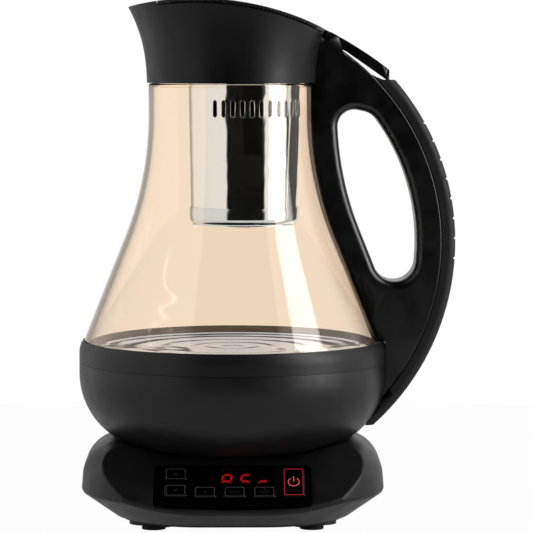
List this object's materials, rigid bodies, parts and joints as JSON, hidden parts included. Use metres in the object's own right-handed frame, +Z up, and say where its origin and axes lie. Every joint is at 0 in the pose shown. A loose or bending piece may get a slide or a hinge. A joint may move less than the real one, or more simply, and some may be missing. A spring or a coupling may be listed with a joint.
{
  "type": "electric tea maker",
  "caption": "Glass tea maker jug with hanging steel infuser, hinged lid with thumb lever and curved handle, standing on a powered base with a sloping key panel.",
  "frame": {"origin": "on the jug's axis, in the plane of the feet", "axes": "+Z up, +X to the handle, -X to the spout, -Y to the control panel"},
  "size_m": [0.2057, 0.1702, 0.2842],
  "materials": {
    "base_black": "matte",
    "bowl_black": "satin",
    "collar_black": "satin",
    "handle_gloss": "gloss",
    "grip_soft": "matte",
    "panel_gloss": "gloss",
    "key_black": "gloss",
    "lens_smoke": "gloss",
    "led_red": "lit",
    "glass_amber": "polished",
    "steel": "polished",
    "steel_satin": "satin",
    "aluminium": "plain",
    "copper_alloy": "plain",
    "silicone": "matte",
    "rubber_black": "matte",
    "inner_black": "matte",
    "board_green": "satin",
    "module_dark": "matte",
    "relay_blue": "satin"
  },
  "bodies": {
    "base": {"base_shell": "base_black", "base_bottom": "base_black", "base_feet": "rubber_black", "base_screws": "steel_satin", "cord_gland": "inner_black", "control_panel": "panel_gloss", "display_lens": "lens_smoke", "display_module": "module_dark", "display_digits": "led_red", "control_board": "board_green", "tact_switches": "inner_black", "board_screws": "steel_satin", "power_board": "board_green", "heater_relay": "relay_blue", "supply_transformer": "inner_black", "supply_capacitor": "aluminium", "base_coupler": "inner_black", "base_contacts": "copper_alloy"},
    "jug": {"glass_jug": "glass_amber", "clamp_ring": "bowl_black", "bowl": "bowl_black", "heater_plate": "steel", "heater_seal": "silicone", "heat_spreader": "aluminium", "heating_element": "steel_satin", "thermal_cutouts": "inner_black", "temperature_probe": "steel_satin", "jug_connector": "inner_black", "jug_contacts": "copper_alloy", "connector_screws": "steel_satin", "collar": "collar_black", "collar_seal": "silicone", "infuser_cradle": "collar_black", "handle_body": "handle_gloss", "handle_grip": "grip_soft", "handle_screws": "steel_satin", "lid_pin": "steel_satin", "lever_spring": "steel_satin"},
    "lever": {"lid_lever": "collar_black"},
    "lid": {"lid_top": "collar_black", "lid_seal": "silicone", "lid_liner": "steel_satin"},
    "infuser": {"infuser_body": "steel", "infuser_base": "steel", "infuser_mesh": "steel_satin", "infuser_rim": "inner_black"},
    "up_key": {"key_up": "key_black"},
    "down_key": {"key_down": "key_black"},
    "mode_1_key": {"key_mode_1": "key_black"},
    "mode_2_key": {"key_mode_2": "key_black"},
    "mode_3_key": {"key_mode_3": "key_black"},
    "power_key": {"key_power": "key_black"}
  },
  "joints": [
    {"name": "jug_lift", "type": "slide", "parent": "base", "child": "jug", "axis": [0, 0, 1], "range_m": [0, 0.12]},
    {"name": "lever_press", "type": "hinge", "parent": "jug", "child": "lever", "pos_m": [0.054, 0, 0.263], "axis": [0, 1, 0], "range_deg": [0, 4], "stiffness_Nm_per_rad": 0.8},
    {"name": "lid_open", "type": "hinge", "parent": "lever", "child": "lid", "pos_m": [0.054, 0, 0.263], "axis": [0, 1, 0], "range_deg": [0, 80]},
    {"name": "infuser_lift", "type": "slide", "parent": "jug", "child": "infuser", "axis": [0, 0, 1], "range_m": [0, 0.008]},
    {"name": "up_key_press", "type": "slide", "parent": "base", "child": "up_key", "axis": [0, 0.6428, -0.766], "range_m": [0, 0.0006], "stiffness_N_per_m": 500},
    {"name": "down_key_press", "type": "slide", "parent": "base", "child": "down_key", "axis": [0, 0.6428, -0.766], "range_m": [0, 0.0006], "stiffness_N_per_m": 500},
    {"name": "mode_1_key_press", "type": "slide", "parent": "base", "child": "mode_1_key", "axis": [0, 0.6428, -0.766], "range_m": [0, 0.0006], "stiffness_N_per_m": 500},
    {"name": "mode_2_key_press", "type": "slide", "parent": "base", "child": "mode_2_key", "axis": [0, 0.6428, -0.766], "range_m": [0, 0.0006], "stiffness_N_per_m": 500},
    {"name": "mode_3_key_press", "type": "slide", "parent": "base", "child": "mode_3_key", "axis": [0, 0.6428, -0.766], "range_m": [0, 0.0006], "stiffness_N_per_m": 500},
    {"name": "power_key_press", "type": "slide", "parent": "base", "child": "power_key", "axis": [0, 0.6428, -0.766], "range_m": [0, 0.0006], "stiffness_N_per_m": 500}
  ]
}
